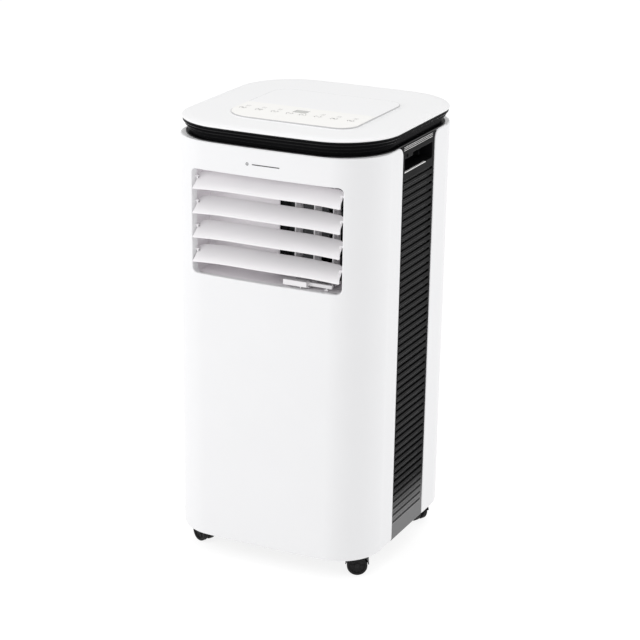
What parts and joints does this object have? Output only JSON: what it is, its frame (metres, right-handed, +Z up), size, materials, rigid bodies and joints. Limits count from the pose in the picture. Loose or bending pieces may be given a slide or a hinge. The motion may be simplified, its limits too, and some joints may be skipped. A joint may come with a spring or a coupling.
{
  "type": "portable air conditioner",
  "caption": "Free-standing room air conditioner on casters, with tilting outlet louvres, turning vanes, press keys, slide-out filters and a rear exhaust hose socket.",
  "frame": {"origin": "on the floor under the middle of the cabinet", "axes": "+X to the right seen from the front, -Y towards the user (the air outlet faces -Y), +Z up"},
  "size_m": [0.3504, 0.3608, 0.7028],
  "materials": {
    "white_shell": "satin white",
    "lid_white": "satin white",
    "overlay_cream": "smooth",
    "display_dark": "smoked, smooth",
    "key_plastic": "fine matt",
    "louver_white": "fine matt",
    "panel_black": "satin, lightly grained",
    "collar_gloss": "high gloss",
    "filter_frame": "satin",
    "filter_mesh": "woven mesh",
    "rubber_black": "matt",
    "screw_steel": "zinc plated",
    "caster_gloss": "gloss",
    "wheel_black": "satin",
    "board_green": "lacquered",
    "compressor_paint": "black enamel",
    "coil_aluminium": "finned",
    "duct_grey": "plain",
    "fan_plastic": "plain",
    "scroll_plastic": "plain",
    "motor_steel": "zinc plated",
    "pipe_copper": "bare copper"
  },
  "bodies": {
    "cabinet": {"base_pan": "panel_black", "front_shell": "white_shell", "rear_shell": "white_shell", "side_panel_left": "panel_black", "side_panel_right": "panel_black", "collar_ring": "collar_gloss", "top_lid": "lid_white", "control_panel": "overlay_cream", "display_window": "display_dark", "control_board": "board_green", "outlet_frame": "louver_white", "exhaust_collar": "panel_black", "cord_inlet": "rubber_black", "housing_screws": "screw_steel", "compressor": "compressor_paint", "compressor_grommets": "rubber_black", "condenser_coil": "coil_aluminium", "evaporator_coil": "coil_aluminium", "drip_tray": "duct_grey", "evaporator_scroll": "scroll_plastic", "condenser_scroll": "scroll_plastic", "fan_motors": "motor_steel", "refrigerant_pipes": "pipe_copper", "electrics_box": "duct_grey"},
    "key_1": {"key_1": "key_plastic"},
    "key_2": {"key_2": "key_plastic"},
    "key_3": {"key_3": "key_plastic"},
    "key_4": {"key_4": "key_plastic"},
    "key_5": {"key_5": "key_plastic"},
    "key_6": {"key_6": "key_plastic"},
    "key_7": {"key_7": "key_plastic"},
    "key_8": {"key_8": "key_plastic"},
    "louver_1": {"louver_1": "louver_white"},
    "louver_2": {"louver_2": "louver_white"},
    "louver_3": {"louver_3": "louver_white"},
    "louver_4": {"louver_4": "louver_white"},
    "louver_link": {"louver_link": "louver_white"},
    "vane_1": {"vane_1": "louver_white"},
    "vane_2": {"vane_2": "louver_white"},
    "vane_3": {"vane_3": "louver_white"},
    "vane_link": {"vane_link": "louver_white"},
    "upper_filter": {"upper_filter_frame": "filter_frame", "upper_filter_mesh": "filter_mesh"},
    "lower_filter": {"lower_filter_frame": "filter_frame", "lower_filter_mesh": "filter_mesh"},
    "upper_drain_plug": {"upper_drain_plug": "rubber_black"},
    "lower_drain_plug": {"lower_drain_plug": "rubber_black"},
    "evaporator_blower": {"evaporator_blower": "fan_plastic"},
    "condenser_blower": {"condenser_blower": "fan_plastic"},
    "caster_fork_1": {"caster_fork_1": "caster_gloss"},
    "caster_wheels_1": {"caster_wheels_1": "wheel_black"},
    "caster_fork_2": {"caster_fork_2": "caster_gloss"},
    "caster_wheels_2": {"caster_wheels_2": "wheel_black"},
    "caster_fork_3": {"caster_fork_3": "caster_gloss"},
    "caster_wheels_3": {"caster_wheels_3": "wheel_black"},
    "caster_fork_4": {"caster_fork_4": "caster_gloss"},
    "caster_wheels_4": {"caster_wheels_4": "wheel_black"}
  },
  "joints": [
    {"name": "key_1_press", "type": "slide", "parent": "cabinet", "child": "key_1", "axis": [0, 0, -1], "range_m": [0, 0.0006], "stiffness_N_per_m": 500},
    {"name": "key_2_press", "type": "slide", "parent": "cabinet", "child": "key_2", "axis": [0, 0, -1], "range_m": [0, 0.0006], "stiffness_N_per_m": 500},
    {"name": "key_3_press", "type": "slide", "parent": "cabinet", "child": "key_3", "axis": [0, 0, -1], "range_m": [0, 0.0006], "stiffness_N_per_m": 500},
    {"name": "key_4_press", "type": "slide", "parent": "cabinet", "child": "key_4", "axis": [0, 0, -1], "range_m": [0, 0.0006], "stiffness_N_per_m": 500},
    {"name": "key_5_press", "type": "slide", "parent": "cabinet", "child": "key_5", "axis": [0, 0, -1], "range_m": [0, 0.0006], "stiffness_N_per_m": 500},
    {"name": "key_6_press", "type": "slide", "parent": "cabinet", "child": "key_6", "axis": [0, 0, -1], "range_m": [0, 0.0006], "stiffness_N_per_m": 500},
    {"name": "key_7_press", "type": "slide", "parent": "cabinet", "child": "key_7", "axis": [0, 0, -1], "range_m": [0, 0.0006], "stiffness_N_per_m": 500},
    {"name": "key_8_press", "type": "slide", "parent": "cabinet", "child": "key_8", "axis": [0, 0, -1], "range_m": [0, 0.0006], "stiffness_N_per_m": 500},
    {"name": "louver_1_tilt", "type": "hinge", "parent": "cabinet", "child": "louver_1", "pos_m": [0, -0.15985, 0.6124], "axis": [1, 0, 0], "range_deg": [-20, 49]},
    {"name": "louver_2_tilt", "type": "hinge", "parent": "cabinet", "child": "louver_2", "pos_m": [0, -0.15985, 0.5747], "axis": [1, 0, 0], "range_deg": [-20, 49]},
    {"name": "louver_3_tilt", "type": "hinge", "parent": "cabinet", "child": "louver_3", "pos_m": [0, -0.15985, 0.537], "axis": [1, 0, 0], "range_deg": [-20, 49]},
    {"name": "louver_4_tilt", "type": "hinge", "parent": "cabinet", "child": "louver_4", "pos_m": [0, -0.15985, 0.4993], "axis": [1, 0, 0], "range_deg": [-20, 49]},
    {"name": "louver_link_swing", "type": "hinge", "parent": "louver_1", "child": "louver_link", "pos_m": [0.122, -0.14922, 0.60955], "axis": [1, 0, 0], "range_deg": [-49, 20]},
    {"name": "vane_1_turn", "type": "hinge", "parent": "cabinet", "child": "vane_1", "pos_m": [0.035, -0.128, 0.546], "axis": [0, 0, 1], "range_deg": [-26, 26]},
    {"name": "vane_2_turn", "type": "hinge", "parent": "cabinet", "child": "vane_2", "pos_m": [0.066, -0.128, 0.546], "axis": [0, 0, 1], "range_deg": [-26, 26]},
    {"name": "vane_3_turn", "type": "hinge", "parent": "cabinet", "child": "vane_3", "pos_m": [0.097, -0.128, 0.546], "axis": [0, 0, 1], "range_deg": [-26, 26]},
    {"name": "vane_link_swing", "type": "hinge", "parent": "vane_1", "child": "vane_link", "pos_m": [0.035, -0.16, 0.472], "axis": [0, 0, 1], "range_deg": [-26, 26]},
    {"name": "upper_filter_pull", "type": "slide", "parent": "cabinet", "child": "upper_filter", "axis": [0, 1, 0], "range_m": [0, 0.06]},
    {"name": "lower_filter_pull", "type": "slide", "parent": "cabinet", "child": "lower_filter", "axis": [0, 1, 0], "range_m": [0, 0.06]},
    {"name": "upper_drain_pull", "type": "slide", "parent": "cabinet", "child": "upper_drain_plug", "axis": [0, 1, 0], "range_m": [0, 0.03]},
    {"name": "lower_drain_pull", "type": "slide", "parent": "cabinet", "child": "lower_drain_plug", "axis": [0, 1, 0], "range_m": [0, 0.03]},
    {"name": "evaporator_fan_spin", "type": "hinge", "parent": "cabinet", "child": "evaporator_blower", "pos_m": [0, -0.02, 0.545], "axis": [0, 1, 0], "continuous": true},
    {"name": "condenser_fan_spin", "type": "hinge", "parent": "cabinet", "child": "condenser_blower", "pos_m": [0, -0.014, 0.35], "axis": [0, 1, 0], "continuous": true},
    {"name": "caster_1_swivel", "type": "hinge", "parent": "cabinet", "child": "caster_fork_1", "pos_m": [-0.1275, -0.118, 0.045], "axis": [0, 0, 1], "continuous": true},
    {"name": "caster_1_roll", "type": "hinge", "parent": "caster_fork_1", "child": "caster_wheels_1", "pos_m": [-0.13475, -0.11462, 0.016], "axis": [-0.4226, -0.9063, 0], "continuous": true},
    {"name": "caster_2_swivel", "type": "hinge", "parent": "cabinet", "child": "caster_fork_2", "pos_m": [0.1275, -0.118, 0.045], "axis": [0, 0, 1], "continuous": true},
    {"name": "caster_2_roll", "type": "hinge", "parent": "caster_fork_2", "child": "caster_wheels_2", "pos_m": [0.13475, -0.11462, 0.016], "axis": [-0.4226, 0.9063, 0], "continuous": true},
    {"name": "caster_3_swivel", "type": "hinge", "parent": "cabinet", "child": "caster_fork_3", "pos_m": [-0.1275, 0.118, 0.045], "axis": [0, 0, 1], "continuous": true},
    {"name": "caster_3_roll", "type": "hinge", "parent": "caster_fork_3", "child": "caster_wheels_3", "pos_m": [-0.13475, 0.11462, 0.016], "axis": [0.4226, -0.9063, 0], "continuous": true},
    {"name": "caster_4_swivel", "type": "hinge", "parent": "cabinet", "child": "caster_fork_4", "pos_m": [0.1275, 0.118, 0.045], "axis": [0, 0, 1], "continuous": true},
    {"name": "caster_4_roll", "type": "hinge", "parent": "caster_fork_4", "child": "caster_wheels_4", "pos_m": [0.13475, 0.11462, 0.016], "axis": [0.4226, 0.9063, 0], "continuous": true}
  ],
  "couplings": [
    {"joint": "louver_2_tilt", "follows": "louver_1_tilt", "ratio": 1},
    {"joint": "louver_3_tilt", "follows": "louver_1_tilt", "ratio": 1},
    {"joint": "louver_4_tilt", "follows": "louver_1_tilt", "ratio": 1},
    {"joint": "louver_link_swing", "follows": "louver_1_tilt", "ratio": -1},
    {"joint": "vane_2_turn", "follows": "vane_1_turn", "ratio": 1},
    {"joint": "vane_3_turn", "follows": "vane_1_turn", "ratio": 1},
    {"joint": "vane_link_swing", "follows": "vane_1_turn", "ratio": -1}
  ]
}
